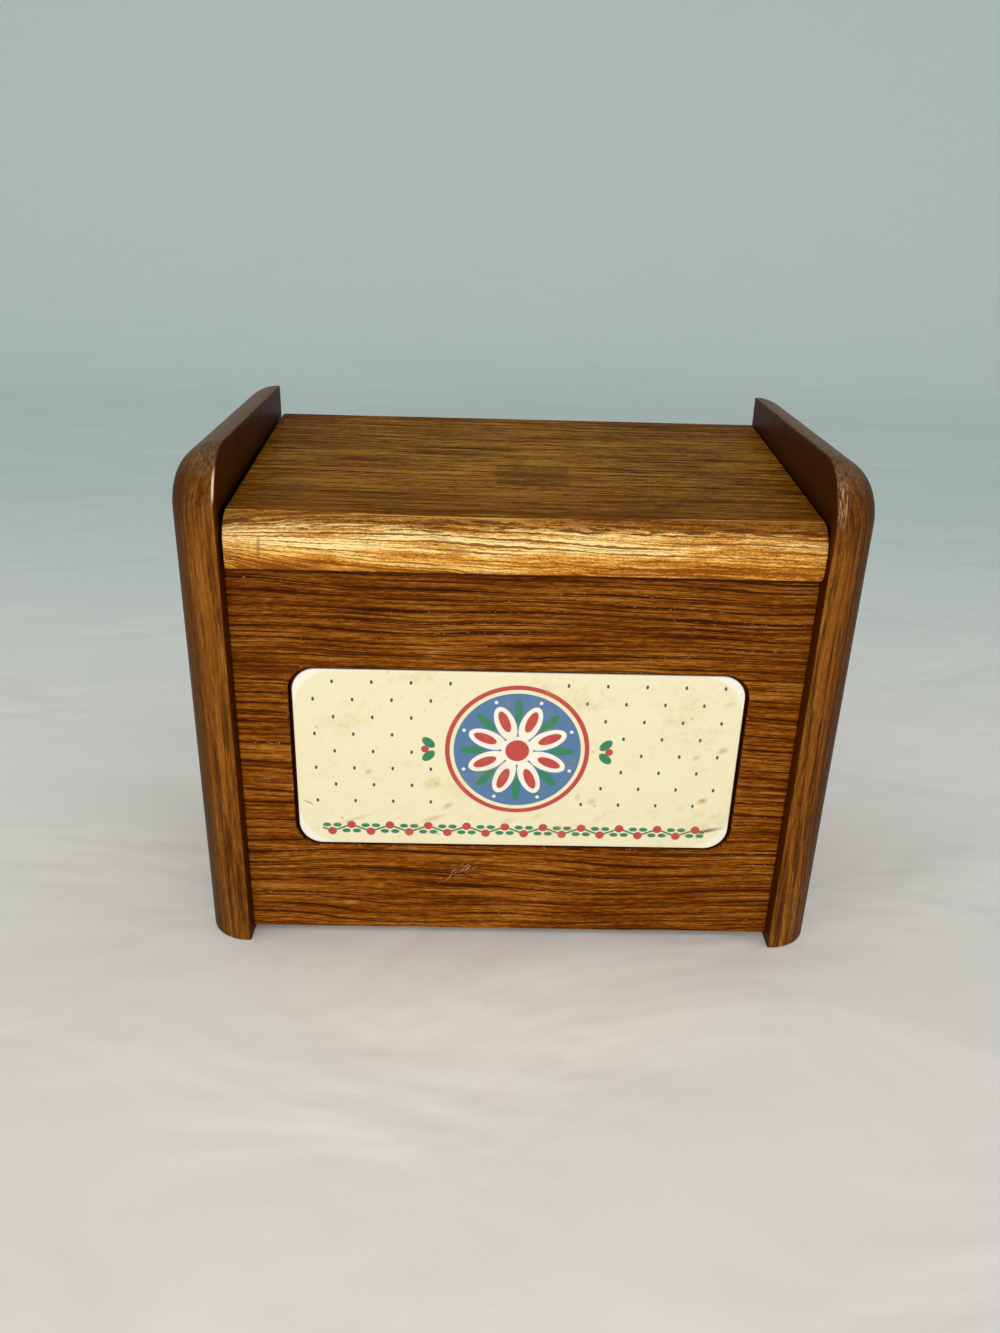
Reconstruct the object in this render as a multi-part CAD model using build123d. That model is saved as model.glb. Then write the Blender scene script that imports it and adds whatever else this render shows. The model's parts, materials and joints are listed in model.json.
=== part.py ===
from build123d import *
import math
import os

# Recipe card box in stained oak. Two tall side boards carry a front board, a back board and a thin
# bottom. A sloping lid lies between the sides and swings on two small butt hinges at the back.
# A picture plaque is let into the front board.
#
# Frame: +X to the right seen from the front, +Y to the back, +Z up, in millimetres. The origin is on
# the surface that the box stands on, under the middle of its whole outline, hinge barrels included.

# ---- driving dimensions ----------------------------------------------------------------------------
INNER_WIDTH = 140.0        # clear width between the sides: a 127 mm card and room for fingers
SIDE_THICKNESS = 11.9
SIDE_DEPTH = 87.2
SIDE_HEIGHT = 131.9
SIDE_CORNER_RADIUS = 14.8  # front top corner of a side, seen from the side
SIDE_ROUNDOVER = 11.2      # quarter round along the outer edge, front, top and back
SIDE_ARRIS = 0.45          # slight easing along the inner edge

BOARD_THICKNESS = 9.5      # front and back boards
FRONT_SETBACK = 4.4        # front board's face behind the front edges of the sides
BACK_SETBACK = 1.0         # back board's face in front of the back edges of the sides
FLOOR_GAP = 1.6            # front and back boards stop short of the table
BOARD_ARRIS = 0.3          # slight easing along the level edges of these boards

LID_SLOPE_DEG = 4.6        # the lid falls towards the front
LID_THICKNESS = 12.6
LID_UNDERSIDE_AT_NOSE = 104.7
LID_NOSE_SETBACK = 1.7     # nose behind the front edges of the sides
LID_NOSE_FACE_TOP = 111.0  # height at which the upright face of the nose turns into its round
LID_NOSE_RADIUS = 7.0
LID_NOSE_UNDER_RADIUS = 0.8
LID_GAP_LEFT = 0.85        # the lid has a little side play and sits towards the right
LID_GAP_RIGHT = 0.25
LID_REST_GAP = 0.15        # between the lid and the edges that it rests on
LID_ARRIS = 0.35

BOTTOM_THICKNESS = 3.2
BOTTOM_HEIGHT = 6.0        # underside of the bottom above the table
GROOVE_DEPTH = 4.0
GROOVE_END_PLAY = 0.3

PLAQUE_WIDTH = 112.0
PLAQUE_HEIGHT = 50.2
PLAQUE_THICKNESS = 3.0
PLAQUE_CORNER_RADIUS = 6.0
PLAQUE_EDGE_EASE = 0.35
PLAQUE_CENTRE_HEIGHT = 53.7
PLAQUE_SIDE_PLAY = 1.0     # dark gap left and right of the plaque
PLAQUE_TOP_PLAY = 0.5      # gap above and below it
RECESS_DEPTH = 3.3         # the plaque lies just below the face of the board

DOWEL_DIAMETER = 5.0
DOWEL_FLUTES = 12          # flats along a dowel, which let the glue out
DOWEL_LENGTH = 18.0
DOWEL_DEPTH_IN_SIDE = 6.0
DOWEL_HEIGHTS = (24.0, 86.0)

HINGE_LENGTH = 25.4        # one inch butt hinge
HINGE_CENTRES = (-45.0, 45.0)
KNUCKLES = 5               # three on the box leaf, two on the lid leaf between them
KNUCKLE_RADIUS = 1.75
KNUCKLE_END_PLAY = 0.12    # half of the gap between two knuckles
KNUCKLE_NOTCH_PLAY = 0.3
LEAF_THICKNESS = 0.9
LEAF_REACH = 9.5           # from the pin's axis to the leaf's free edge
LEAF_CORNER_RADIUS = 1.2
BARREL_STANDOFF = 0.25     # barrel clear of the wood
PIN_RADIUS = 0.90
PIN_RUNNING_CLEARANCE = 0.05
PIN_END = 0.35             # chamfered end of the pin beyond the last knuckle

SCREW_LENGTH = 8.0
SCREW_HEAD_RADIUS = 2.0
SCREW_HEAD_SIDES = 24
SCREW_HEAD_BEVEL = 0.85    # countersink at 45 degrees, almost as deep as the leaf is thick
SCREW_SHANK_RADIUS = 1.1
SCREW_SHANK_SIDES = 8      # an eight-sided shank stands for the thread
SCREW_TIP_BEVEL = 0.7
SCREW_SLOT_LENGTH = 4.4    # right across the head
SCREW_SLOT_WIDTH = 0.5
SCREW_SLOT_DEPTH = 0.45
SCREW_SPACING = 15.0       # between the two screws of one leaf
SCREW_REACH = 5.7          # from the pin's axis to the screw's axis

# ---- places worked out from them -------------------------------------------------------------------
BACK_FACE_DEPTH = SIDE_DEPTH - BACK_SETBACK
OVERALL_DEPTH = BACK_FACE_DEPTH + BARREL_STANDOFF + 2 * KNUCKLE_RADIUS
SIDE_FRONT_Y = -OVERALL_DEPTH / 2
SIDE_BACK_Y = SIDE_FRONT_Y + SIDE_DEPTH
FRONT_FACE_Y = SIDE_FRONT_Y + FRONT_SETBACK
FRONT_INNER_Y = FRONT_FACE_Y + BOARD_THICKNESS
BACK_FACE_Y = SIDE_FRONT_Y + BACK_FACE_DEPTH
BACK_INNER_Y = BACK_FACE_Y - BOARD_THICKNESS
NOSE_Y = SIDE_FRONT_Y + LID_NOSE_SETBACK
HALF_INNER = INNER_WIDTH / 2
SLOPE = math.tan(math.radians(LID_SLOPE_DEG))
LID_RISE = LID_THICKNESS / math.cos(math.radians(LID_SLOPE_DEG))


def lid_underside(y):
    """Height of the lid's sloping underside at depth y."""
    return LID_UNDERSIDE_AT_NOSE + SLOPE * (y - NOSE_Y)


def lid_top(y):
    """Height of the lid's sloping top at depth y."""
    return lid_underside(y) + LID_RISE


HINGE_Y = BACK_FACE_Y + BARREL_STANDOFF + KNUCKLE_RADIUS
HINGE_Z = lid_underside(BACK_FACE_Y)


def clear_of_table(edges):
    """Those of a board's edges that don't lie on the table."""
    return edges.filter_by(lambda edge: edge.center().Z > 0.01)


# ---- wooden parts ----------------------------------------------------------------------------------
def bottom_tongue(extra=0.0):
    """The bottom board. With extra, the same board grown to the full depth of its grooves."""
    reach = GROOVE_DEPTH - GROOVE_END_PLAY + extra
    depth = BACK_INNER_Y - FRONT_INNER_Y + 2 * reach
    board = Box(INNER_WIDTH + 2 * reach, depth, BOTTOM_THICKNESS)
    middle = (FRONT_INNER_Y + BACK_INNER_Y) / 2
    return Pos(0, middle, BOTTOM_HEIGHT + BOTTOM_THICKNESS / 2) * board


def dowels(side, board_middle_y):
    """Two fluted dowels that join one end of an upright board to a side. side is -1 or +1."""
    centre_x = side * (HALF_INNER + DOWEL_DEPTH_IN_SIDE - DOWEL_LENGTH / 2)
    pegs = []
    for height in DOWEL_HEIGHTS:
        section = RegularPolygon(DOWEL_DIAMETER / 2, DOWEL_FLUTES)
        peg = extrude(Plane.YZ * section, DOWEL_LENGTH / 2, both=True)
        pegs.append(Pos(centre_x, board_middle_y, height) * peg)
    return pegs


def side_panel(side, pegs):
    """A side board: round front top corner, big quarter round outside, crisp edge inside."""
    corner_y = SIDE_FRONT_Y + SIDE_CORNER_RADIUS
    corner_z = SIDE_HEIGHT - SIDE_CORNER_RADIUS
    outline = Line((SIDE_FRONT_Y, 0), (SIDE_FRONT_Y, corner_z))
    outline += CenterArc((corner_y, corner_z), SIDE_CORNER_RADIUS, 180, -90)
    outline += Polyline((corner_y, SIDE_HEIGHT), (SIDE_BACK_Y, SIDE_HEIGHT), (SIDE_BACK_Y, 0),
                        (SIDE_FRONT_Y, 0))
    board = extrude(Plane.YZ * make_face(outline), SIDE_THICKNESS)
    outer_edges = board.faces().sort_by(Axis.X)[-1].edges()
    board = fillet(clear_of_table(outer_edges), SIDE_ROUNDOVER)
    inner_edges = board.faces().sort_by(Axis.X)[0].edges()
    board = chamfer(clear_of_table(inner_edges), SIDE_ARRIS)
    board = Pos(HALF_INNER, 0, 0) * board
    if side < 0:
        board = mirror(board, Plane.YZ)
    board -= bottom_tongue(GROOVE_END_PLAY)
    for peg in pegs:
        board -= peg
    return board


def upright_board(front_y, back_y):
    """A board between the sides, its top edge bevelled to the slope of the lid."""
    outline = Polyline(
        (front_y, FLOOR_GAP),
        (back_y, FLOOR_GAP),
        (back_y, lid_underside(back_y) - LID_REST_GAP),
        (front_y, lid_underside(front_y) - LID_REST_GAP),
        close=True,
    )
    board = extrude(Plane.YZ * make_face(outline), HALF_INNER, both=True)
    return chamfer(board.edges().filter_by(Axis.X), BOARD_ARRIS)


def plaque_shape(play_x, play_z, thickness):
    """A rectangle with round corners, its back on the XZ plane, lifted to the plaque's place."""
    shape = RectangleRounded(
        PLAQUE_WIDTH + 2 * play_x, PLAQUE_HEIGHT + 2 * play_z, PLAQUE_CORNER_RADIUS + play_z
    )
    solid = extrude(Plane.XZ * shape, thickness)
    return Pos(0, FRONT_FACE_Y + RECESS_DEPTH, PLAQUE_CENTRE_HEIGHT) * solid


def front_panel(pegs):
    """The front board with the routed recess for the plaque and the groove for the bottom."""
    board = upright_board(FRONT_FACE_Y, FRONT_INNER_Y)
    board -= plaque_shape(PLAQUE_SIDE_PLAY, PLAQUE_TOP_PLAY, RECESS_DEPTH)
    board -= bottom_tongue(GROOVE_END_PLAY)
    for peg in pegs:
        board -= peg
    return board


def back_panel(pegs, screws):
    """The back board with its groove, dowel holes and screw holes."""
    board = upright_board(BACK_INNER_Y, BACK_FACE_Y)
    board -= bottom_tongue(GROOVE_END_PLAY)
    for piece in pegs + screws:
        board -= piece
    return board


def picture_plaque():
    """The plaque: a thin plate with round corners and a softened front edge."""
    plate = plaque_shape(0, 0, PLAQUE_THICKNESS)
    return chamfer(plate.faces().sort_by(Axis.Y)[0].edges(), PLAQUE_EDGE_EASE)


def lid_board(screws):
    """The lid: a level length of one section with a rounded nose, sloping down to the front."""
    lift = lid_top(NOSE_Y) - LID_NOSE_FACE_TOP
    # Where the nose's circle meets the sloping top: a quadratic in the distance behind the nose.
    a = 1 + SLOPE ** 2
    b = 2 * (SLOPE * lift - LID_NOSE_RADIUS)
    behind = (-b - math.sqrt(b ** 2 - 4 * a * lift ** 2)) / (2 * a)
    round_end = (NOSE_Y + behind, lid_top(NOSE_Y + behind))
    outline = Polyline(
        round_end,
        (BACK_FACE_Y, lid_top(BACK_FACE_Y)),
        (BACK_FACE_Y, lid_underside(BACK_FACE_Y)),
        (NOSE_Y, lid_underside(NOSE_Y)),
        (NOSE_Y, LID_NOSE_FACE_TOP),
    )
    outline += RadiusArc((NOSE_Y, LID_NOSE_FACE_TOP), round_end, LID_NOSE_RADIUS)
    width = INNER_WIDTH - LID_GAP_LEFT - LID_GAP_RIGHT
    board = extrude(Plane.YZ * make_face(outline), width)
    under_nose = board.edges().filter_by(Axis.X).sort_by(Axis.Z)[0]
    board = fillet(under_nose, LID_NOSE_UNDER_RADIUS)
    back_edges = board.edges().filter_by(Axis.X).sort_by(Axis.Y)[-2:]
    board = chamfer(back_edges, LID_ARRIS)
    board = Pos(LID_GAP_LEFT - HALF_INNER, 0, 0) * board
    for screw in screws:
        board -= screw
    return board


# ---- hinges ----------------------------------------------------------------------------------------
def wood_screw():
    """A countersunk screw along Y with its flat top on the XZ plane: the whole form, and with its slot."""
    head = extrude(Plane.XZ * RegularPolygon(SCREW_HEAD_RADIUS, SCREW_HEAD_SIDES), LEAF_THICKNESS)
    head = chamfer(head.faces().sort_by(Axis.Y)[0].edges(), SCREW_HEAD_BEVEL)
    shank = extrude(Plane.XZ * RegularPolygon(SCREW_SHANK_RADIUS, SCREW_SHANK_SIDES), SCREW_LENGTH)
    shank = chamfer(shank.faces().sort_by(Axis.Y)[0].edges(), SCREW_TIP_BEVEL)
    screw = head + shank
    slot = Box(SCREW_SLOT_LENGTH, 2 * SCREW_SLOT_DEPTH, SCREW_SLOT_WIDTH)
    return screw, screw - slot


def screw_pair(centre_x, up):
    """Both screws of one leaf, as uncut holes and as slotted screws. up is +1 for the lid leaf."""
    plain, slotted = wood_screw()
    holes = []
    screws = []
    for offset in (-SCREW_SPACING / 2, SCREW_SPACING / 2):
        place = Pos(centre_x + offset, BACK_FACE_Y + LEAF_THICKNESS, HINGE_Z + up * SCREW_REACH)
        holes.append(place * plain)
        screws.append(place * slotted)
    return holes, screws


def hinge_leaf(centre_x, up, holes):
    """One leaf with its own knuckles. up is +1 for the lid leaf, -1 for the box leaf.

    The leaf is a flat plate beside the pin's axis. It is notched round the other leaf's knuckles,
    and its own knuckles are rings on the axis that run into the plate.
    """
    plate_middle = (centre_x, BACK_FACE_Y + LEAF_THICKNESS / 2, HINGE_Z + up * LEAF_REACH / 2)
    leaf = Pos(*plate_middle) * Box(HINGE_LENGTH, LEAF_THICKNESS, LEAF_REACH)
    free_corners = leaf.edges().filter_by(Axis.Y).sort_by(Axis.Z)
    free_corners = free_corners[-2:] if up > 0 else free_corners[:2]
    leaf = fillet(free_corners, LEAF_CORNER_RADIUS)
    pitch = HINGE_LENGTH / KNUCKLES
    first_x = centre_x - HINGE_LENGTH / 2 + pitch / 2
    places = [Pos(first_x + index * pitch, HINGE_Y, HINGE_Z) for index in range(KNUCKLES)]
    own, other = (places[1::2], places[0::2]) if up > 0 else (places[0::2], places[1::2])
    for place in own:
        leaf += place * Rot(0, 90, 0) * Cylinder(KNUCKLE_RADIUS, pitch)
    notch_size = 2 * (KNUCKLE_RADIUS + KNUCKLE_NOTCH_PLAY)
    notch = Box(pitch + 2 * KNUCKLE_END_PLAY, notch_size, notch_size)
    for place in other:
        leaf -= place * notch
    clearance = PIN_RUNNING_CLEARANCE if up > 0 else 0
    bore = Rot(0, 90, 0) * Cylinder(PIN_RADIUS + clearance, HINGE_LENGTH)
    leaf -= Pos(centre_x, HINGE_Y, HINGE_Z) * bore
    for hole in holes:
        leaf -= hole
    return leaf


def hinge_pin(centre_x):
    """The pin, with chamfered ends just beyond the last knuckles."""
    pin = Cylinder(PIN_RADIUS, HINGE_LENGTH + 2 * PIN_END)
    pin = chamfer(pin.edges().filter_by(GeomType.CIRCLE), PIN_END)
    return Pos(centre_x, HINGE_Y, HINGE_Z) * Rot(0, 90, 0) * pin


# ---- the assembly ----------------------------------------------------------------------------------
def build():
    """Every part by its node's name."""
    parts = {}
    front_middle = (FRONT_FACE_Y + FRONT_INNER_Y) / 2
    back_middle = (BACK_FACE_Y + BACK_INNER_Y) / 2
    pegs = {
        "dowels_front_left": dowels(-1, front_middle),
        "dowels_front_right": dowels(1, front_middle),
        "dowels_back_left": dowels(-1, back_middle),
        "dowels_back_right": dowels(1, back_middle),
    }
    box_holes = []
    lid_holes = []
    for name, centre_x in zip(("left", "right"), HINGE_CENTRES):
        low_holes, low_screws = screw_pair(centre_x, -1)
        high_holes, high_screws = screw_pair(centre_x, 1)
        parts[f"hinge_{name}_box_leaf"] = hinge_leaf(centre_x, -1, low_holes)
        parts[f"hinge_{name}_lid_leaf"] = hinge_leaf(centre_x, 1, high_holes)
        parts[f"hinge_{name}_pin"] = hinge_pin(centre_x)
        parts[f"hinge_{name}_box_screws"] = low_screws
        parts[f"hinge_{name}_lid_screws"] = high_screws
        box_holes += low_holes
        lid_holes += high_holes
    parts["side_panel_left"] = side_panel(-1, pegs["dowels_front_left"] + pegs["dowels_back_left"])
    parts["side_panel_right"] = side_panel(1, pegs["dowels_front_right"] + pegs["dowels_back_right"])
    parts["front_panel"] = front_panel(pegs["dowels_front_left"] + pegs["dowels_front_right"])
    parts["back_panel"] = back_panel(pegs["dowels_back_left"] + pegs["dowels_back_right"], box_holes)
    parts["bottom_panel"] = bottom_tongue()
    parts["picture_plaque"] = picture_plaque()
    parts["lid_board"] = lid_board(lid_holes)
    parts.update(pegs)
    return parts


os.makedirs("parts", exist_ok=True)
for node, shape in build().items():
    if isinstance(shape, list):
        shape = Compound(children=shape)
    export_step(shape, f"parts/{node}.step")
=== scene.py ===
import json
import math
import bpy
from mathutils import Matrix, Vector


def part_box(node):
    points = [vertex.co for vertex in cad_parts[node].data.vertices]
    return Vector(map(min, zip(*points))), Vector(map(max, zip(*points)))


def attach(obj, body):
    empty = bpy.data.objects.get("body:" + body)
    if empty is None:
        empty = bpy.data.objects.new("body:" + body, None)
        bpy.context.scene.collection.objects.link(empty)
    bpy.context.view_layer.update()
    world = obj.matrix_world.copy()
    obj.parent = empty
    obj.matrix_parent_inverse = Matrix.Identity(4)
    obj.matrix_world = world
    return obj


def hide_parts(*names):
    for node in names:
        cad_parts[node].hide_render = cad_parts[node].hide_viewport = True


bl_info = {
    "name": "Recipe Card Box",
    "version": (1, 0, 0),
    "blender": (4, 5, 0),
    "location": "3D View > Sidebar > Card Box",
    "description": "Dresses a stained oak recipe card box: boards, lid, picture plaque and hinges",
    "category": "Object",
}

from typing import NamedTuple

import bmesh
import bpy
import numpy as np
from mathutils import Matrix, Vector

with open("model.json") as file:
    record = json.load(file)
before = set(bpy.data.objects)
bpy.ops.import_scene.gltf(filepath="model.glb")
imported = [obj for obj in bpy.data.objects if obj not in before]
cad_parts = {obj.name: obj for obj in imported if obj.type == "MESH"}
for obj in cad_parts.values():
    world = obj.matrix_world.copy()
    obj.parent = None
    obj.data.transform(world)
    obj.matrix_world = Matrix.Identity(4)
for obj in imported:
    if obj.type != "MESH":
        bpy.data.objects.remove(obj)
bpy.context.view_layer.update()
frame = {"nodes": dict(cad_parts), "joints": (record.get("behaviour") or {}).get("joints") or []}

MM = 0.001
WELD_DISTANCE = 2e-6
SHARP_ANGLE = math.radians(42)

# ---- places read from the frame and the box's own sizes, in millimetres ----


def node_box(node):
    """Lowest and highest corner of a node in millimetres."""
    low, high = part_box(node)
    return [[float(value) / MM for value in corner] for corner in (low, high)]


SIDE_LOW, SIDE_HIGH = node_box("side_panel_right")
FRONT_LOW, FRONT_HIGH = node_box("front_panel")
BACK_LOW, BACK_HIGH = node_box("back_panel")
LID_LOW, LID_HIGH = node_box("lid_board")
PLAQUE_LOW, PLAQUE_HIGH = node_box("picture_plaque")
PLAQUE_MIDDLE_Z = (PLAQUE_LOW[2] + PLAQUE_HIGH[2]) / 2
HINGE_Y, HINGE_Z = (value / MM for value in frame["joints"][0]["pos_m"][1:])

LID_TILT = math.radians(4.6)
LID_SLOPE = math.tan(LID_TILT)
LID_THICKNESS = 12.6
UNDERSIDE_AT_NOSE = 104.7
NOSE_FACE_TOP = 111.0
LID_REST_GAP = 0.15
RECESS_PLAY_X, RECESS_PLAY_Z = 1.0, 0.5
RECESS_DEPTH, RECESS_LIP = 3.3, 0.25
RECESS_CORNER, PLAQUE_CORNER = 6.5, 6.0

LEAF_THICKNESS, LEAF_REACH, LEAF_CORNER, HINGE_HALF = 0.9, 9.5, 1.2, 12.7
KNUCKLE_RADIUS, KNUCKLE_PITCH, KNUCKLE_GAP = 1.75, 5.08, 0.12
PIN_RADIUS, PIN_END = 0.9, 0.35
SCREW_RADIUS, SCREW_APART, SCREW_REACH = 2.0, 7.5, 5.7
HINGE_CENTRES = {"left": -45.0, "right": 45.0}


def underside(y):
    """Height of the lid's sloping underside at depth y."""
    return UNDERSIDE_AT_NOSE + LID_SLOPE * (y - LID_LOW[1])


def display(red, green, blue):
    """A display colour in 0 to 255 as the linear colour that shaders take."""
    value = np.array([red, green, blue]) / 255
    linear = np.where(value <= 0.04045, value / 12.92, ((value + 0.055) / 1.055) ** 2.4)
    return tuple(float(part) for part in linear)


# ---- settings that a user would change ----


def number(name, description, default, largest=100.0, **more):
    """A property that holds a number from 0 up to the largest one."""
    limits = {"default": default, "min": 0.0, "max": largest}
    return bpy.props.FloatProperty(name=name, description=description, **limits, **more)


def shade(name, description, *display_colour):
    """A property that holds a colour, whose default is given as a display colour."""
    limits = {"default": display(*display_colour), "min": 0.0, "max": 1.0}
    return bpy.props.FloatVectorProperty(name=name, description=description, subtype="COLOR", **limits)


class OakSettings(bpy.types.PropertyGroup):
    dark: shade("Dark wood", "Stain gathered in the open wood of the boards", 72, 26, 0)
    middle: shade("Middle wood", "Wood between the dark bands", 104, 50, 2)
    light: shade("Light wood", "Light bands of the boards", 130, 74, 13)
    gold: shade("Golden wood", "Palest fibres of the boards", 164, 106, 40)
    lid_dark: shade("Dark lid", "Dark fibres of the lid's top", 92, 47, 0)
    lid_middle: shade("Middle lid", "Wood of the lid's top", 122, 74, 9)
    lid_light: shade("Light lid", "Light fibres of the lid's top", 145, 91, 17)
    lid_gold: shade("Golden lid", "Palest fibres of the lid's top", 192, 135, 50)
    # Also the colour of painted shade above the lid, under the nose and in the recess.
    pore_and_shade: shade("Pores", "Bottom of the open pores", 46, 14, 0)
    worn: shade("Worn nose", "Wood of the lid's nose, rubbed pale", 204, 142, 58)
    # The brightest streaks of the nose are partly a painted highlight.
    bright: shade("Bright streaks", "Palest streaks of the rubbed nose", 255, 224, 150)
    umber: shade("Nose marks", "Stain left in the grain of the nose", 128, 74, 22)
    dust: shade("Dust", "Dust in the end grain along the top", 116, 99, 72)
    lacquer: number("Lacquer", "Weight of lacquer on the boards", 0.035, 1.0, subtype="FACTOR")
    side_lacquer: number("Side lacquer", "Weight of lacquer on the sides", 0.09, 1.0, subtype="FACTOR")


class BoardSettings(bpy.types.PropertyGroup):
    corner: number("Corner radius", "Front top corner of a side board", 14.8)
    roundover: number("Roundover", "Quarter round of a side board's outer edge", 11.2)
    arris: number("Arris", "Softening of a side board's inner edge", 0.45)
    board_arris: number("Board arris", "Softening of the front and back boards' edges", 0.35)
    nose: number("Nose radius", "Round of the lid's nose", 7.0)
    nose_under: number("Nose under radius", "Round under the lid's nose", 1.2)
    lid_end: number("Lid ends", "Softening low on the right end of the lid's nose", 0.5)


class PlaqueSettings(bpy.types.PropertyGroup):
    ground: shade("Ground", "Cream ground of the print", 240, 229, 190)
    margin: shade("Margin", "White edge round the print", 245, 239, 221)
    blue: shade("Blue", "Field of the medallion", 80, 119, 160)
    red: shade("Red", "Rings, petals and berries", 189, 66, 61)
    green: shade("Green", "Leaves", 46, 126, 88)
    dot: shade("Pin dots", "Small dots of the ground", 66, 74, 96)
    stain: shade("Stains", "Kitchen stains", 198, 154, 70)
    edge_ease: number("Edge", "Softening of the plaque's front edge", 0.35)


class HingeSettings(bpy.types.PropertyGroup):
    brass: shade("Brass", "Plated brass of leaves, pins and screws", 214, 162, 84)
    tarnish: shade("Tarnish", "Darker film on the brass", 120, 86, 40)


class StageSettings(bpy.types.PropertyGroup):
    floor: shade("Floor", "Pale floor", 248, 243, 235)
    backdrop: shade("Backdrop", "Pale grey green behind the floor", 212, 223, 218)
    key: number("Key lamp", "Power of the lamp near the camera", 4.4, unit="POWER")
    sky: number("Soft light", "Strength of the light from all round", 0.62)


class CardBoxSettings(bpy.types.PropertyGroup):
    oak: bpy.props.PointerProperty(type=OakSettings, name="Oak", description="Colours of the oak")
    boards: bpy.props.PointerProperty(type=BoardSettings, name="Boards", description="Edges")
    plaque: bpy.props.PointerProperty(type=PlaqueSettings, name="Plaque", description="Print colours")
    hinges: bpy.props.PointerProperty(type=HingeSettings, name="Hinges", description="Hinge metal")
    stage: bpy.props.PointerProperty(type=StageSettings, name="Stage", description="Floor and light")


def settings():
    return bpy.context.scene.card_box


# ---- surfaces ----


def loop_quads(rows, columns):
    """Corner numbers of the quads between neighbouring rows of a grid whose columns close up."""
    row = np.arange(rows - 1)[:, None] * columns
    column = np.arange(columns)
    following = (column + 1) % columns
    corners = (row + column, row + following, row + columns + following, row + columns + column)
    return np.stack(corners, axis=-1).reshape(-1, 4)


def linked(name, mesh):
    """A new object with that mesh, in the scene."""
    piece = bpy.data.objects.new(name, mesh)
    bpy.context.scene.collection.objects.link(piece)
    return piece


def closed_mesh(name, *shells):
    """A mesh object through one or more closed shells given in millimetres.

    A shell has one row of points for each of its loops, and quads join neighbouring loops. Its first
    and its last loop are one point each or the same loop, so that the surface closes there.
    """
    points = np.concatenate([shell.reshape(-1, 3) for shell in shells]) * MM
    starts = np.cumsum([0] + [shell.shape[0] * shell.shape[1] for shell in shells[:-1]])
    quads = [loop_quads(*shell.shape[:2]) + start for shell, start in zip(shells, starts)]
    mesh = bpy.data.meshes.new(name)
    mesh.from_pydata(points.tolist(), [], np.concatenate(quads).tolist())
    work = bmesh.new()
    work.from_mesh(mesh)
    bmesh.ops.remove_doubles(work, verts=work.verts, dist=WELD_DISTANCE)
    bmesh.ops.recalc_face_normals(work, faces=work.faces)
    work.to_mesh(mesh)
    work.free()
    mesh.shade_smooth()
    mesh.set_sharp_from_angle(angle=SHARP_ANGLE)
    return linked(name, mesh)


def smooth_noise(values, seed, octaves=4):
    """Gentle repeatable waviness about zero: sines of growing pitch with seeded phases."""
    rng = np.random.default_rng(seed)
    phases = rng.uniform(0, 2 * np.pi, octaves)
    pitches = 1.9 ** np.arange(octaves) * rng.uniform(0.8, 1.25, octaves)
    waves = np.sin(values[..., None] * pitches + phases) / 1.5 ** np.arange(octaves)
    return waves.sum(axis=-1) / octaves


FACE_SHARES = (0.0, 0.3, 0.6, 0.85, 0.97)


def towards_middle(loop, shares=FACE_SHARES):
    """Copies of one flat loop drawn in towards its middle: middle plus share times the rest."""
    middle = (loop.min(axis=0) + loop.max(axis=0)) / 2
    return middle + np.asarray(shares)[:, None, None] * (loop - middle)


def capped(loops):
    """The loops, closed at both ends by copies of the end loop drawn in towards its middle."""
    end = towards_middle(loops[-1], FACE_SHARES[::-1])
    return np.concatenate([towards_middle(loops[0]), loops, end])


def spread(start, end, count):
    """Evenly spaced values from start up to but not including end."""
    return start + (end - start) * np.arange(count) / count


def quarter(radius, steps):
    """The two offsets along a quarter circle: radius (1 - sin t) and radius (1 - cos t)."""
    turn = np.linspace(0, np.pi / 2, steps)
    turn = turn[:, None] if np.ndim(radius) else turn
    return radius * (1 - np.sin(turn)), radius * (1 - np.cos(turn))


# Steps up the front edge, round the corner, along the top, down the back and along the table.
OUTLINE_STEPS = (60, 24, 36, 60, 12)


def side_outline(inset, corner):
    """Depth and height along a side board's outline, moved inwards by inset.

    That leaves the corner's centre where it is and takes inset off its radius. inset has a row for
    each loop and a column for each step of the path.
    """
    front, back, top = SIDE_LOW[1], SIDE_HIGH[1], SIDE_HIGH[2]
    up, bend, along, down, table = np.split(inset, np.cumsum(OUTLINE_STEPS[:-1]), axis=1)
    rise, turn, run, fall, home = (spread(0, 1, count) for count in OUTLINE_STEPS)
    turn = turn * np.pi / 2
    depth = (
        front + up,
        front + corner - (corner - bend) * np.cos(turn),
        (front + corner) * (1 - run) + (back - along) * run,
        back - down,
        (back - table) * (1 - home) + (front + table) * home,
    )
    height = (
        rise * (top - corner) + 0 * up,
        top - corner + (corner - bend) * np.sin(turn),
        top - along,
        (top - down) * (1 - fall),
        0 * table,
    )
    return np.concatenate(depth, axis=1), np.concatenate(height, axis=1)


def side_loops(corner, roundover, arris, seed):
    """Loops of the right side board, from the middle of its inner face to that of its outer face.

    Across the edge the section is a small quarter round of radius arris, a narrow flat and a large
    quarter round: x = outer - R (1 - sin t), inset = R (1 - cos t). Both radii waver along the path,
    as on an edge broken by hand.
    """
    inner, outer = SIDE_LOW[0], SIDE_HIGH[0]
    path = spread(0, 40, sum(OUTLINE_STEPS))
    even = np.ones((1, len(path)))
    soft = arris * (1 + 0.55 * smooth_noise(path, seed)) * even
    wide = (roundover + 0.07 * smooth_noise(path * 0.6, seed + 1)) * even
    soft_inset, soft_x = quarter(soft, 6)
    large_x, large_inset = quarter(roundover * even, 25)[0], quarter(wide, 25)[1]
    x = np.concatenate([inner * even, inner + soft_x, outer - large_x, outer * even])
    inset = np.concatenate([soft + 0.15, soft_inset, large_inset, wide + 0.3])
    return capped(np.stack([x, *side_outline(inset, corner)], axis=-1))


SIDE_RUN, ARC_RUN = 24, 12


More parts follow.
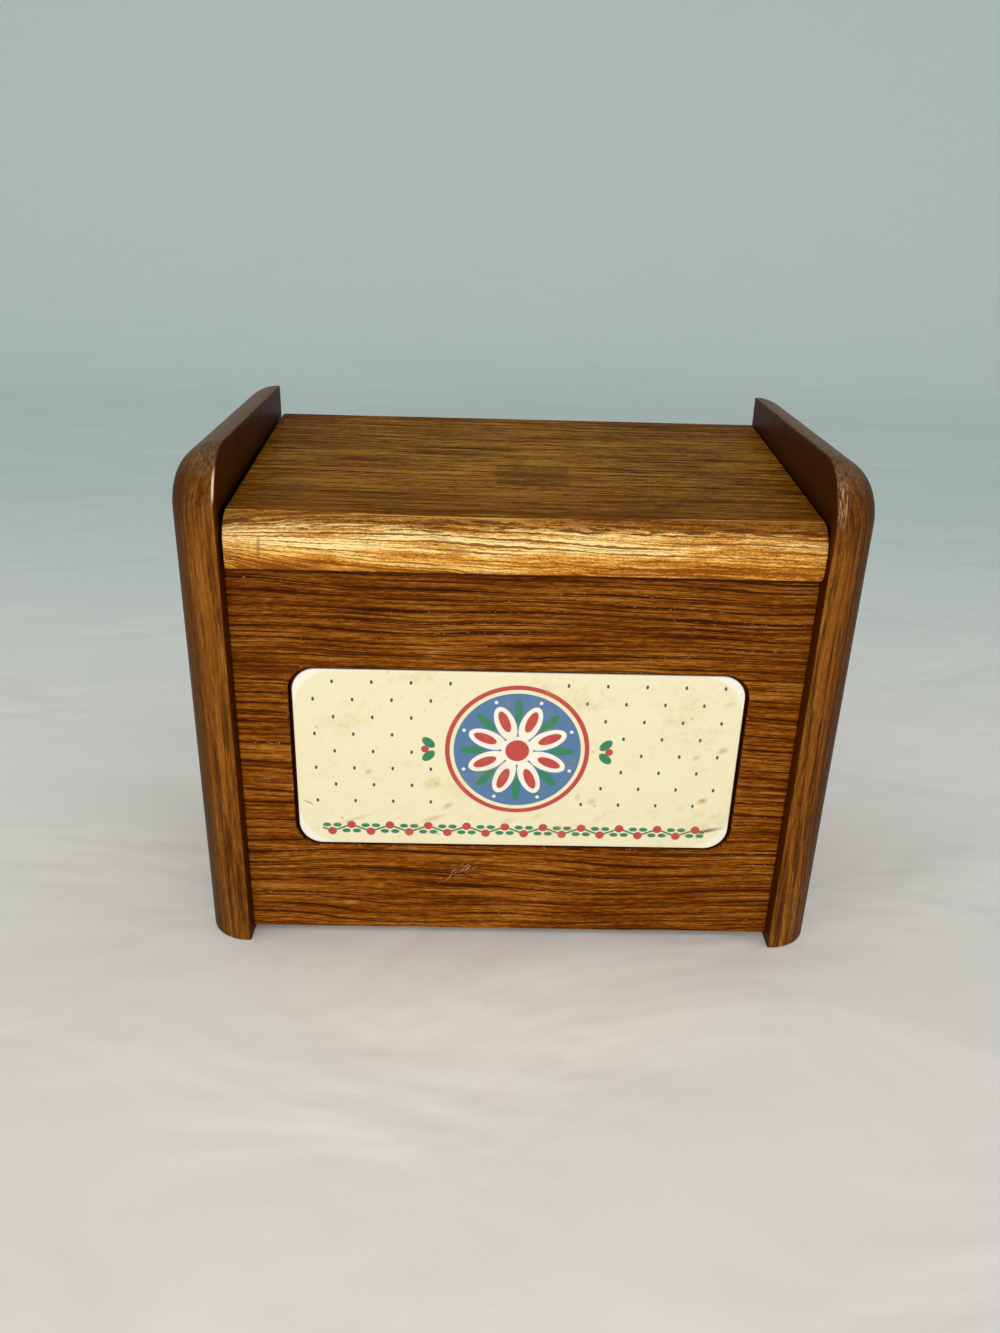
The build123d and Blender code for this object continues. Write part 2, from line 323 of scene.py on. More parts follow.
def plate_loop(y, half_width, low, high, radius, square=False):
    """One closed loop at depth y round an upright plate with round corners.

    Each side is a straight run and each corner a quarter circle. With square, the same points run
    into the corner and out of it instead.
    """
    turn = spread(0, np.pi / 2, ARC_RUN)
    if square:
        share = turn * 4 / np.pi
        arc_x, arc_z = radius * (np.minimum(share, 1) - 1), radius * np.maximum(share - 1, 0)
    else:
        arc_x, arc_z = radius * (np.sin(turn) - 1), radius * (1 - np.cos(turn))
    up = (high - low) / 2
    run, full = spread(-1, 1, SIDE_RUN), np.ones(SIDE_RUN)
    beside = half_width * full
    x = np.concatenate([run * (half_width - radius), half_width + arc_x, beside, half_width - arc_z])
    z = np.concatenate([-full * up, arc_z - up, run * (up - radius), up + arc_x])
    x, z = np.concatenate([x, -x]), np.concatenate([z, -z]) + (high + low) / 2
    return np.stack([x, np.full_like(x, y), z], axis=-1)


def eased(loop_at, y, radius, steps, direction=1):
    """Loops over a small quarter round, from the edge of the face at depth y out to full size."""
    return [loop_at(inset, y + direction * depth) for inset, depth in zip(*quarter(radius, steps))]


def board_loops(front_y, back_y, arris, recess=None):
    """Loops of an upright board, from the middle of its front to that of its back.

    The loops are rectangles whose top follows the lid's slope. They grow over a small quarter round
    to full size and shrink again at the back. A recess, given as half width, low and high place,
    comes first: its floor and its softened lip, which open out to the board's rectangle.
    """
    half, low = FRONT_HIGH[0], FRONT_LOW[2]

    def rectangle(inset, y):
        top = underside(y) - LID_REST_GAP
        return plate_loop(y, half - inset, low + inset, top - inset, RECESS_CORNER, square=True)

    front = eased(rectangle, front_y, arris, 5)
    back = eased(rectangle, back_y, arris, 5, -1)[::-1]
    rear = rectangle(arris + 0.3, back_y)
    if recess:
        width, low_z, high_z = recess
        lips = [
            plate_loop(front_y + sunk, width + grow, low_z - grow, high_z + grow, RECESS_CORNER + grow)
            for sunk, grow in zip(*quarter(RECESS_LIP, 5))
        ]
        floor = plate_loop(front_y + RECESS_DEPTH, width, low_z, high_z, RECESS_CORNER)
        shares = np.array([0.02, 0.3, 0.6, 0.97])[:, None, None]
        face = lips[-1] * (1 - shares) + front[0] * shares
        start = np.concatenate([towards_middle(floor), [floor], lips, face])
    else:
        start = towards_middle(rectangle(arris + 0.3, front_y))
    return np.concatenate([start, front + back + [rear], towards_middle(rear, FACE_SHARES[::-1])])


def arc(before, corner, after, radius):
    """Points of the arc that turns a corner of a path, tangent to both of its sides.

    Its centre lies on the bisector at radius / sin(half angle) from the corner.
    """
    sides = np.array([before, after]) - corner
    sides /= np.linalg.norm(sides, axis=1, keepdims=True)
    half = math.acos(sides[0] @ sides[1]) / 2
    centre = corner + sides.sum(axis=0) / np.linalg.norm(sides.sum(axis=0)) * radius / math.sin(half)
    ends = corner + sides * radius / math.tan(half) - centre
    start, end = np.arctan2(ends[:, 1], ends[:, 0])
    angle = start + ((end - start + np.pi) % (2 * np.pi) - np.pi) * np.linspace(0, 1, 7)
    return centre + radius * np.stack([np.cos(angle), np.sin(angle)], axis=-1)


def resampled(path, spacing):
    """The same closed path with extra points, so that no two are further apart than spacing."""
    following = np.roll(path, -1, axis=0)
    gaps = np.linalg.norm(following - path, axis=1)
    counts = np.maximum(1, np.ceil(gaps / spacing)).astype(int)
    owner = np.repeat(np.arange(len(path)), counts)
    within = np.arange(counts.sum()) - np.repeat(np.cumsum(counts) - counts, counts)
    share = (within / counts[owner])[:, None]
    return path[owner] * (1 - share) + following[owner] * share


def lid_section(nose, under):
    """Depth and height round the lid: round nose, sloping top, back edge and sloping underside.

    The nose is a circle of radius nose, tangent to the upright face. It meets the top in a faint
    crease, because the top slopes across it.
    """
    front, back = LID_LOW[1], BACK_HIGH[1]
    rise = LID_THICKNESS / math.cos(LID_TILT)

    def nose_at(angle):
        across, up = front + nose * (1 - np.cos(angle)), NOSE_FACE_TOP + nose * np.sin(angle)
        return np.stack([across, up], axis=-1)

    angle = np.linspace(0, np.pi / 2, 400)
    across, up = nose_at(angle).T
    meeting = angle[np.argmax(underside(across) + rise < up)]
    first, face = (front, UNDERSIDE_AT_NOSE), (front, NOSE_FACE_TOP - 1.0)
    top = (front + 12.0, underside(front + 12.0) + rise)
    rear, last = (back, underside(back) + rise), (back, underside(back))
    sharp, soft = 0.01, 0.45
    path = np.concatenate([
        arc(last, first, face, under), arc(first, face, top, sharp)[:1],
        nose_at(np.linspace(0, meeting, 28)), arc(face, top, rear, sharp)[:1],
        arc(top, rear, last, soft), arc(rear, last, first, soft),
    ])
    return resampled(path, 2.5)


def lid_loops(nose, under, end_radius, seed):
    """Loops of the lid from the middle of its left end to that of its right end.

    Each loop is the lid's section at one place along its length. Near an end the section is drawn
    in along its own normals by a quarter round, whose radius is larger low on the nose and wavers.
    """
    left, right = LID_LOW[0], LID_HIGH[0]
    section = lid_section(nose, under)
    tangent = np.roll(section, -1, axis=0) - np.roll(section, 1, axis=0)
    tangent /= np.linalg.norm(tangent, axis=1, keepdims=True)
    normal = np.stack([tangent[:, 1], -tangent[:, 0]], axis=-1)
    inward = ((section.mean(axis=0) - section) * normal).sum(axis=1).mean() > 0
    normal *= 1.0 if inward else -1.0
    near_front = np.clip(1 - (section[:, 0] - LID_LOW[1]) / 14, 0, 1)
    near_underside = np.clip((107.0 - section[:, 1]) / 1.5, 0, 1)
    path = spread(0, 30, len(section))

    def loops(x, flat):
        return np.stack(np.broadcast_arrays(x, flat[..., 0], flat[..., 1]), axis=-1)

    def end(place, direction, largest, wave_seed):
        radius = 0.22 + (largest - 0.22) * near_front * near_underside
        radius = radius * (1 + 0.35 * smooth_noise(path, wave_seed))
        pull, shift = quarter(radius, 6)
        return loops(place + direction * shift, section + normal * pull[:, :, None])

    first = end(left, 1.0, 0.3, seed)
    last = end(right, -1.0, end_radius, seed + 3)[::-1]
    body = loops(np.linspace(left + 2.0, right - 2.0, 56)[:, None], section[None])
    return capped(np.concatenate([first, body, last]))


def plaque_loops(ease):
    """Loops of the plaque from the middle of its face, over a softened edge, to its back."""
    front, back = PLAQUE_LOW[1], PLAQUE_HIGH[1]

    def plate(inset, y):
        low, high = PLAQUE_LOW[2] + inset, PLAQUE_HIGH[2] - inset
        return plate_loop(y, PLAQUE_HIGH[0] - inset, low, high, PLAQUE_CORNER - inset)

    start, rear = towards_middle(plate(ease + 0.1, front)), plate(0.1, back)
    edge = eased(plate, front, ease, 6) + [plate(0.0, back - 0.1), rear]
    return np.concatenate([start, edge, towards_middle(rear, FACE_SHARES[::-1])])


def plate_loops(centre_x, half_width, start, end, corner, up, screws=()):
    """Loops of a flat hinge plate on the back board, one across it at each distance from the pin.

    Half the width shrinks towards the free end by r - sqrt(r squared - t squared), which rounds its
    corners. The thickness shrinks over the last quarter millimetre of every edge. Round each screw
    the face is dished by a smooth step of the distance to the screw's axis.
    """
    ease = 0.22

    def thickness(inside):
        return np.sqrt(1 - np.clip(1 - inside / ease, 0, 1) ** 2)

    near, far = start + quarter(ease, 5)[1], end - quarter(corner, 10)[0]
    away = np.concatenate([near, np.linspace(start + ease, far[0], 42)[1:-1], far])
    reach = np.clip(away - (end - corner), 0, corner)
    half = half_width - corner + np.sqrt(corner ** 2 - reach ** 2)
    turn = np.linspace(0, 0.25, 4)
    across = np.concatenate([-np.cos(turn), np.linspace(-0.955, 0.955, 110), np.cos(turn[::-1])])
    x = centre_x + half[:, None] * across
    body = thickness(np.minimum(away - start, end - away))[:, None]
    full = body * (0.35 + 0.65 * thickness(half_width - np.abs(x - centre_x)))
    face = LEAF_THICKNESS * (0.5 + 0.5 * full)
    rim, fall, depth = 2.45, 0.45, 0.34
    for screw_x in screws:
        distance = np.hypot(x - screw_x, away[:, None] - SCREW_REACH)
        dish = np.clip((rim - distance) / fall, 0, 1)
        face = face - depth * dish * dish * (3 - 2 * dish)
    return laid_on_wood(x, HINGE_Z + up * away[:, None], face, LEAF_THICKNESS * 0.5 * (1 - body))


def laid_on_wood(x, z, top, bottom):
    """Loops over a thin piece on the back board and under it again, top and bottom above the wood."""
    x, z, top, bottom = np.broadcast_arrays(x, z, top, bottom)
    over = np.stack([x, BACK_HIGH[1] + top, z], axis=-1)
    under = np.stack([x, BACK_HIGH[1] + bottom, z], axis=-1)
    return np.concatenate([over, under[:, ::-1]], axis=1)


def turned_loops(profile, centre_x):
    """Loops of a piece turned on the pin's axis: each point of the profile is swept round it.

    profile has rows of distance along the axis and radius.
    """
    angle = spread(0, 2 * np.pi, 40)
    along, radius = profile[:, :1], profile[:, 1:]
    y, z = HINGE_Y + radius * np.cos(angle), HINGE_Z + radius * np.sin(angle)
    return np.stack([np.broadcast_to(centre_x + along, y.shape), y, z], axis=-1)


def knuckle_loops(centre_x, length):
    """A ring round the pin with softened ends."""
    half = length / 2
    along, down = quarter(0.18, 5)
    right = np.stack([half - along, KNUCKLE_RADIUS - down], axis=-1)
    left = (right * (-1, 1))[::-1]
    bore = [(half, PIN_RADIUS + 0.04), (-half, PIN_RADIUS + 0.04)]
    return turned_loops(np.concatenate([left, right, bore, left[:1]]), centre_x)


def pin_loops(centre_x):
    """The pin: a rod whose two ends are low domes, radius = R cos t."""
    along, down = quarter(0.4, 7)[0], quarter(PIN_RADIUS, 7)[1]
    right = np.stack([HINGE_HALF + PIN_END - along, PIN_RADIUS - down], axis=-1)
    return turned_loops(np.concatenate([(right * (-1, 1))[::-1], right]), centre_x)


def screw_loops(centre_x, centre_z):
    """A slotted screw head, as chords across a disc.

    Each loop lies at one height b and is sqrt(R squared - b squared) long to either side. Its face
    is a low dome, lowered between the slot's two edges, and its back is flat.
    """
    radius, slot, depth = SCREW_RADIUS, 0.28, 0.42
    outer = radius * np.sin(np.linspace(np.pi / 2, math.asin(slot / radius), 16))
    level = np.concatenate([outer, [slot - 0.02, 0.0, 0.02 - slot], -outer[::-1]])[:, None]
    across = np.sin(np.linspace(-np.pi / 2, np.pi / 2, 25))
    x = np.sqrt(np.maximum(radius ** 2 - level ** 2, 0)) * across
    share = (x ** 2 + level ** 2) / radius ** 2
    cut = np.abs(level) < slot - 0.01
    top = LEAF_THICKNESS - 0.12 + 0.26 * (1 - share) - 0.12 * share ** 8 - depth * cut
    loops = laid_on_wood(centre_x + x, centre_z + level, top, 0.05)
    middle = loops.mean(axis=1, keepdims=True) + 0 * loops
    return np.concatenate([middle[:1], loops, middle[-1:]])


# ---- finishes ----


def operator(operation):
    """A method that adds a Math node between this socket and another value."""
    return lambda wire, other: wire.math(operation, other)


class Wire:
    """One socket of a finish, with arithmetic that adds Math nodes."""

    def __init__(self, finish, socket):
        self.finish = finish
        self.socket = socket

    def math(self, operation, *others):
        return self.finish.add("ShaderNodeMath", {"operation": operation}, (self, *others))

    __add__ = __radd__ = operator("ADD")
    __sub__ = operator("SUBTRACT")
    __mul__ = __rmul__ = operator("MULTIPLY")
    __truediv__ = operator("DIVIDE")
    either = operator("MAXIMUM")

    def __rsub__(self, other):
        return self.finish.add("ShaderNodeMath", {"operation": "SUBTRACT"}, (other, self))

    def __abs__(self):
        return self.math("ABSOLUTE")

    def ramp(self, low, high):
        """0 below low, 1 above high, smooth between. With low above high it falls instead."""
        values = (self, min(low, high), max(low, high), *((0.0, 1.0) if low < high else (1.0, 0.0)))
        return self.finish.add("ShaderNodeMapRange", {"interpolation_type": "SMOOTHSTEP"}, values)


class Finish:
    """The nodes of a material or a world, added one after another."""

    def __init__(self, owner):
        owner.use_nodes = True
        self.owner = owner
        self.tree = owner.node_tree
        self.tree.nodes.clear()

    def add(self, kind, settings=None, values=(), output=0):
        """A node of that kind: its settings first, then its sockets, by order or by name."""
        node = self.tree.nodes.new(kind)
        for key, value in (settings or {}).items():
            if key == "stops":
                self.set_stops(node.color_ramp, value)
            else:
                setattr(node, key, value)
        pairs = values.items() if isinstance(values, dict) else enumerate(values)
        for key, value in pairs:
            if isinstance(value, Wire):
                self.tree.links.new(value.socket, node.inputs[key])
            else:
                node.inputs[key].default_value = value
        return Wire(self, node.outputs[output]) if node.outputs else None

    @staticmethod
    def set_stops(ramp, stops):
        for extra in range(len(stops) - 2):
            ramp.elements.new(0.5)
        for element, (position, colour) in zip(ramp.elements, stops):
            element.position = position
            element.color = (*colour, 1.0)

    def place_mm(self, offset=(0.0, 0.0, 0.0)):
        """x, y and z of the surface in millimetres, moved by offset."""
        place = self.add("ShaderNodeTexCoord", output="Object")
        values = (place, (1 / MM,) * 3, offset)
        scaled = self.add("ShaderNodeVectorMath", {"operation": "MULTIPLY_ADD"}, values)
        return [self.add("ShaderNodeSeparateXYZ", values=(scaled,), output=axis) for axis in range(3)]

    def surface(self, values, height=None, relief_mm=0.1):
        """The finished material, with a bump of relief_mm from height."""
        if height is not None:
            bump = {"Height": height, "Distance": relief_mm * MM, "Strength": 1.0}
            values = {**values, "Normal": self.add("ShaderNodeBump", values=bump, output="Normal")}
        shader = self.add("ShaderNodeBsdfPrincipled", values=values)
        self.add("ShaderNodeOutputMaterial", values=(shader,))
        return self.owner


def new_finish(name):
    return Finish(bpy.data.materials.new(name))


def texture(kind, place, **values):
    """The texture at that place, an x, y and z of which the first is a Wire."""
    add = place[0].finish.add
    vector = add("ShaderNodeCombineXYZ", values=place)
    return add(kind, values={"Vector": vector, "Scale": 1.0, **values})


def noise(x, y, z, detail=2.0, roughness=0.5, distortion=0.0):
    """Soft noise from 0 to 1, with about one bump for each unit of x, y and z."""
    values = {"Detail": detail, "Roughness": roughness, "Distortion": distortion}
    return texture("ShaderNodeTexNoise", (x, y, z), **values)


def cells(x, y, z):
    """Distance to the nearest of the scattered points, one for each unit cube."""
    return texture("ShaderNodeTexVoronoi", (x, y, z))


def blend(mask, first, second, mode="MIX"):
    """Colour mix of first and second by the mask."""
    first, second = (
        colour if isinstance(colour, Wire) else (*colour[:3], 1.0) for colour in (first, second)
    )
    node = {"data_type": "RGBA", "blend_type": mode}
    return mask.finish.add("ShaderNodeMix", node, {0: mask, 6: first, 7: second}, output=2)


def painted(colour, *layers):
    """The colour under thin layers, each with its mask and its own colour, the last one on top."""
    for mask, layer in layers:
        colour = blend(mask, colour, layer)
    return colour


def hypot(a, b):
    return (a * a + b * b).math("SQRT")


def centred(value):
    """The place within each whole unit, from -0.5 to 0.5."""
    return value.math("FRACT") - 0.5


def oval(x, z, across, up, soft=0.12):
    """Mask of an ellipse with those half axes: 1 inside, 0 outside."""
    return hypot(x / across, z / up).ramp(1 + soft / up, 1 - soft / up)


def corner_distance(x, z, half_x, half_z, radius):
    """Distance outside a rectangle with round corners, for places near or beyond its edge."""
    beyond_x = (abs(x) - (half_x - radius)).either(0.0)
    beyond_z = (abs(z) - (half_z - radius)).either(0.0)
    return hypot(beyond_x, beyond_z) - radius


class Look(NamedTuple):
    """How a board was cut: lean, bend and taper of the grain, its pith line and its year's width."""

    slope: float
    bend: float
    pith: tuple
    taper: float
    year: float
    contrast: float = 1.0
    lines: float = 0.9


def hairlines(rings, places, spacing, width):
    """Thin dark lines along the grain, one for each ring, that swell and die out along their length.

    Half a line's width is slow noise less a threshold, and the line is where the distance to the
    middle of the ring is less than that. places holds the lengths along, across and through.
    """
    along, across, through = places
    index = rings.math("FLOOR")
    apart = abs(rings - index - 0.5) * spacing
    swell = noise(along / 26 + index * 7.3, across / 11, through / 11)
    half = (swell - 0.36) * width
    return (half - apart).ramp(-0.02, 0.05), (half + 0.3 - apart).ramp(0.0, 0.2)


def oak_grain(places, look):
    """Line, pore and streak masks of stained oak.

    The yearly rings are circles about a pith line beside the board: radius = distance to that line,
    bent by slow noise. Each year starts with a band of open pores, which fades out. Pores are long
    thin cells along the grain, so that they show as dashes on a face and as dots on an end.
    """
    along, across, through = places
    bend = noise(along / 75, across / 26, through / 26, 1.0) - 0.5
    ripple = noise(along / 21, across / 4, through / 4) - 0.5
    shifted = across + along * look.slope + bend * look.bend + ripple * 0.8 - look.pith[0]
    radius = hypot(shifted, through - look.pith[1] + along * look.taper)
    year = radius / look.year
    uneven = noise(year * 0.45, 3.0, 7.0, 1.0)
    year = year + uneven * 1.6
    # A ring cut at a flat angle would be a broad band, so its distance grows by the same factor.
    flat = (radius / (abs(shifted) + 3.0)).math("MINIMUM", 5.0).either(1.0)
    line, beside = hairlines(year, places, flat * look.year, 1.0)
    second = radius / (look.year * 0.43) + uneven * 2.3 + 0.3
    thin = hairlines(second, places, flat * look.year * 0.43, 0.8)[0]
    open_wood = abs(centred(year)).ramp(0.45, 0.1)
    dashes = cells(along / 11, across / 0.55, through / 0.55).ramp(0.3, 0.12)
    clouds = noise(along / 45, across / 6, through / 6)
    # specks: pale flecks beside the lines, painted glints on the lacquer over the pores.
    specks = noise(along / 1.1, across / 0.3, through / 0.3, 1.0).ramp(0.66, 0.74)
    return {
        "line": line.either(thin * 0.85),
        "open": open_wood,
        "pores": dashes * (open_wood * 0.8 + 0.2),
        "streaks": noise(along / 22, across / 0.85, through / 0.85, 2.0, 0.6, 0.3),
        "fibres": noise(along / 2.8, across / 0.32, through / 0.32, 3.0, 0.75),
        "clouds": clouds,
        "specks": specks * beside * clouds.ramp(0.45, 0.6),
    }


def oak_colour(masks, shades, look):
    """Stained oak: four shades from dark to golden by the streaks, then dark lines and pale specks,
    which are painted glints along the pores.
    """
    tone = masks["streaks"] * 0.34 + masks["fibres"] * 0.46 + masks["clouds"] * 0.22
    tone = (tone - masks["open"] * 0.03 - 0.5) * look.contrast + 0.5
    stops = tuple(zip((0.375, 0.465, 0.525, 0.625), shades))
    return painted(
        tone.finish.add("ShaderNodeValToRGB", {"stops": stops}, (tone,)),
        (masks["pores"] * 0.45, shades[0]),
        (masks["line"] * look.lines, settings().oak.pore_and_shade),
        # Painted glints.
        (masks["specks"] * 0.55, display(196, 146, 92)),
    )


def palette(part=""):
    """The four shades of the boards, or of the lid, from dark to golden."""
    shades = ("dark", "middle", "light", "gold")
    return [tuple(getattr(settings().oak, part + name)) for name in shades]


def oak_finish(name, axes, offset, look, shades):
    """Stained oak with its grain along the first of axes: the finish, its masks and its colour."""
    finish = new_finish(name)
    place = dict(zip("xyz", finish.place_mm(offset)))
    masks = oak_grain([place[axis] for axis in axes], look)
    return finish, masks, oak_colour(masks, shades, look)


def lacquered(finish, masks, colour, weight, sheen, gloss=0.02):
    """Satin lacquer, sunk into the open pores."""
    mottle = noise(*finish.place_mm((7.0, 3.0, 1.0)))
    height = 1 - masks["pores"] * 0.8 - masks["line"] * 0.5 + mottle * 0.05
    values = {
        "Base Color": colour,
        "Roughness": masks["streaks"] * 0.16 + masks["pores"] * 0.25 + 0.34,
        "Specular IOR Level": gloss,
        "Coat Weight": (1 - masks["pores"] * 0.6) * weight,
        "Coat Roughness": sheen,
        "Coat IOR": 1.5,
        "IOR": 1.45,
    }
    return finish.surface(values, height, 0.09)


# ---- operators ----


def dress(piece, material, body, slot, *nodes):
    """Gives a new piece its finish and its body, and hides the nodes that it stands for. slot is not
    used.
    """
    piece.data.materials.append(material)
    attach(piece, body)
    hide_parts(*nodes)


def redress(node, material):
    """Gives a CAD node another finish."""
    slots = frame["nodes"][node].material_slots
    if slots:
        for slot in slots:
            slot.material = material
    else:
        frame["nodes"][node].data.materials.append(material)


def edge_share(out, y, z):
    """Mask of the outer half of the roundover, which fades out on the flat outer face."""
    inset = (y - SIDE_LOW[1]).math("MINIMUM", SIDE_HIGH[2] - z)
    return out.ramp(75.4, 79.6) * inset.ramp(13.0, 5.0)


def aged_and_shaded_edges(out, y, z, colour, rounded):
    """Darkened inner face, partly darker stain and partly painted shade between the side and the lid;
    painted shade on the outer roundover; broad streaks down the front edge; a dry dusty top; painted
    shade just above the closed lid's top and a painted shadow in the gap beside the lid.

    out is the distance from the box's middle, and over the height above the closed lid's top.
    """
    oak = settings().oak
    inner = out.ramp(70.3, 70.12)
    broad = noise(out / 1.5, y / 1.5, z / 24, 2.0, 0.6)
    edge_face = out.ramp(70.12, 70.5) * out.ramp(77.0, 74.5)
    dust = noise(out / 0.5, y / 1.3, z / 1.3, 3.0, 0.6).ramp(0.42, 0.64)
    top = z.ramp(124.0, 130.5) * out.ramp(70.12, 70.3)
    over = z - LID_SLOPE * (y - LID_LOW[1]) - (UNDERSIDE_AT_NOSE + LID_THICKNESS)
    behind_nose = inner * y.ramp(LID_LOW[1], LID_LOW[1] + 2.5)
    return painted(
        colour,
        # Inner face: partly darker stain, partly painted shade between the side and the lid.
        (inner * 0.85, display(62, 22, 0)),
        # Darker all over, and more on the outer band, where it is painted shade of the roundover
        # turning away from the light.
        (out.ramp(75.5, 79.0) * 0.16 + 0.22, oak.dark),
        (broad.ramp(0.5, 0.6) * edge_face * 0.3, display(168, 100, 30)),
        (broad.ramp(0.44, 0.36) * edge_face * 0.6, display(64, 30, 6)),
        # Painted shade on the outer half of the roundover.
        (rounded * 0.62, display(54, 32, 10)),
        (z.ramp(108.0, 122.0) * 0.4, display(64, 32, 6)),
        (top * (dust * 0.66 + 0.14), oak.dust),
        # Painted shade on the inner face just above the closed lid, then a near-black painted shadow in
        # the gap beside the lid.
        (over.ramp(5.0, 0.2) * over.ramp(-2.0, -0.5) * behind_nose * 0.7, oak.pore_and_shade),
        (over.ramp(0.5, 0.0) * over.ramp(-2.4, -1.6) * behind_nose * 0.85, display(12, 5, 1)),
    )


def arris_scratches_and_highlight(x, out, y, z, colour, side):
    """High on the inner edge: a painted highlight along the left board's arris, dry scratches on the
    right.
    """
    if side < 0:
        # A pale painted highlight of the lamp along the left board's inner arris.
        line = out.ramp(70.0, 70.12) * out.ramp(70.65, 70.38) * y.ramp(-30.0, -36.0)
        return blend(line * abs(z - 124.4).ramp(4.2, 1.2), colour, display(236, 198, 172))
    strokes = noise(x / 0.35, y / 1.6, z / 2.6, 3.0, 0.65).ramp(0.5, 0.58)
    zone = oval(out - 71.2, z - 124.2, 1.5, 5.0, 2.4) * y.ramp(-28.0, -34.0)
    return blend(strokes * zone * out.ramp(70.05, 70.2) * 0.5, colour, display(204, 164, 126))


class CARDBOX_OT_side_boards(bpy.types.Operator):
    """Make the two side boards"""

    bl_idname = "card_box.side_boards"
    bl_label = "Side Boards"

    def execute(self, context):
        boards = settings().boards
        shades = [tuple(colour) for colour in 0.5 * (np.array(palette()) + np.array(palette("lid_")))]
        for side, name, seed in ((-1, "left", 11), (1, "right", 23)):
            loops = side_loops(boards.corner, boards.roundover, boards.arris, seed) * (side, 1, 1)
            piece = closed_mesh(f"side_board_{name}", loops)
            look = Look(0.012, 9.0, (-98.0, 42.0 * side), 0.03, 2.7, 0.9, 0.6)
            offset = (40.0 * side, 17.0 * side, 90.0 * side)
            finish, masks, colour = oak_finish(f"oak side {name}", "zyx", offset, look, shades)
            x, y, z = finish.place_mm()
            out = x * side
            rounded = edge_share(out, y, z)
            colour = aged_and_shaded_edges(out, y, z, colour, rounded)
            colour = arris_scratches_and_highlight(x, out, y, z, colour, side)
            sheltered = (out.ramp(70.3, 70.12) * 0.85).either(rounded * 0.75)
            lacquer = (1 - sheltered) * settings().oak.side_lacquer
            material = lacquered(finish, masks, colour, lacquer, 0.12, 0.04)
            dress(piece, material, "box", "oak_sides", f"side_panel_{name}")
        return {"FINISHED"}


def scuffed_and_shaded(x, y, z, colour):
    """A colour lighter towards the bottom, a small pale scuff low on the board, pale chips round the
    recess, painted shade in the recess, and dirt with painted shade under the nose above a thin painted
    shadow band along the top edge.
    """
    # Lighter towards the bottom of the board.
    factor = z.ramp(98.0, 62.0) * 0.24 + 1
    values = {0: colour, "Scale": factor}
    colour = x.finish.add("ShaderNodeVectorMath", {"operation": "SCALE"}, values)
    scratch = noise((x - z) / 0.5, (x + z) / 4.0, 2.0, 3.0, 0.6).ramp(0.56, 0.62)
    zone = oval(x + 14.0, z - 20.5 - (x + 14.0) * 0.5, 4.6, 1.5, 1.2)
    half_x = PLAQUE_HIGH[0] + RECESS_PLAY_X
    half_z = (PLAQUE_HIGH[2] - PLAQUE_LOW[2]) / 2 + RECESS_PLAY_Z
    rim = corner_distance(x, z - PLAQUE_MIDDLE_Z, half_x, half_z, 3.3)
    chips = noise(x / 1.7, z / 1.7, 5.0, 3.0, 0.7).ramp(0.6, 0.64)
    chips = chips * abs(rim - 0.15).ramp(0.24, 0.08)
    patchy = noise(x / 14, z / 1.4, 6.0, 3.0)
    # Patchy dirt and painted shade under the nose's overhang.
    grime_and_shade = (z + patchy * 5.0).ramp(105.0, 108.6) * 0.75
    recess = y.ramp(FRONT_LOW[1] + 0.3, FRONT_LOW[1] + 1.1)
    return painted(
        colour,
        (scratch * zone * 0.75, display(196, 176, 140)),
        (chips * 0.5, display(196, 148, 90)),
        # Dirt and painted shade under the nose, a thin painted shadow band right under it, and painted
        # shade in the recess.
        (grime_and_shade.either(z.ramp(103.1, 103.9) * 0.8).either(recess * 0.75), settings().oak.pore_and_shade),
    )


class CARDBOX_OT_front_board(bpy.types.Operator):
    """Make the front board with the recess for the plaque"""

    bl_idname = "card_box.front_board"
    bl_label = "Front Board"

    def execute(self, context):
        low, high = PLAQUE_LOW[2] - RECESS_PLAY_Z, PLAQUE_HIGH[2] + RECESS_PLAY_Z
        recess = (PLAQUE_HIGH[0] + RECESS_PLAY_X, low, high)
        loops = board_loops(FRONT_LOW[1], FRONT_HIGH[1], settings().boards.board_arris, recess)
        piece = closed_mesh("front_board", loops)
        look = Look(0.04, 9.0, (-90.0, 60.0), 0.03, 2.5)
        offset = (31.0, 5.0, 12.0)
        finish, masks, colour = oak_finish("oak front", "xzy", offset, look, palette())
        colour = scuffed_and_shaded(*finish.place_mm(), colour)
        material = lacquered(finish, masks, colour, settings().oak.lacquer, 0.2)
        dress(piece, material, "box", "oak_boards", "front_panel")
        return {"FINISHED"}


class CARDBOX_OT_back_board(bpy.types.Operator):
    """Make the back board"""

    bl_idname = "card_box.back_board"
    bl_label = "Back Board"

    def execute(self, context):
        loops = board_loops(BACK_LOW[1], BACK_HIGH[1], settings().boards.board_arris)
        piece = closed_mesh("back_board", loops)
        look = Look(-0.01, 12.0, (48.0, 36.0), 0.09, 2.6)
        oak = oak_finish("oak back", "xzy", (-70.0, 60.0, 4.0), look, palette())
        material = lacquered(*oak, settings().oak.lacquer, 0.2)
        dress(piece, material, "box", "oak_boards", "back_panel")
        return {"FINISHED"}


def top_marks(x, y, z, colour):
    """Pale streaks in the middle of the top, a faint square patch and darker back corners."""
    oak = settings().oak
    middle = oval(x - 6.0, y + 2.0, 68.0, 34.0, 30.0)
    streak = noise(x / 28, y / 0.9, 11.0, 3.0, 0.65).ramp(0.52, 0.62)
    thin = noise(x / 15, y / 0.5, 3.0, 2.0, 0.6).ramp(0.53, 0.63)
    patch = abs(x - 2.6).ramp(10.2, 8.6) * abs(y + 9.0).ramp(8.4, 6.8)
    return painted(
        colour,
        ((1 - middle) * 0.5, oak.middle),
        (y.ramp(-10.0, -37.0) * 0.36, display(98, 48, 0)),
        (streak * middle * 0.6, display(174, 122, 46)),
        (thin * middle * 0.5, display(188, 134, 48)),
        (patch * 0.35, oak.dark),
    )


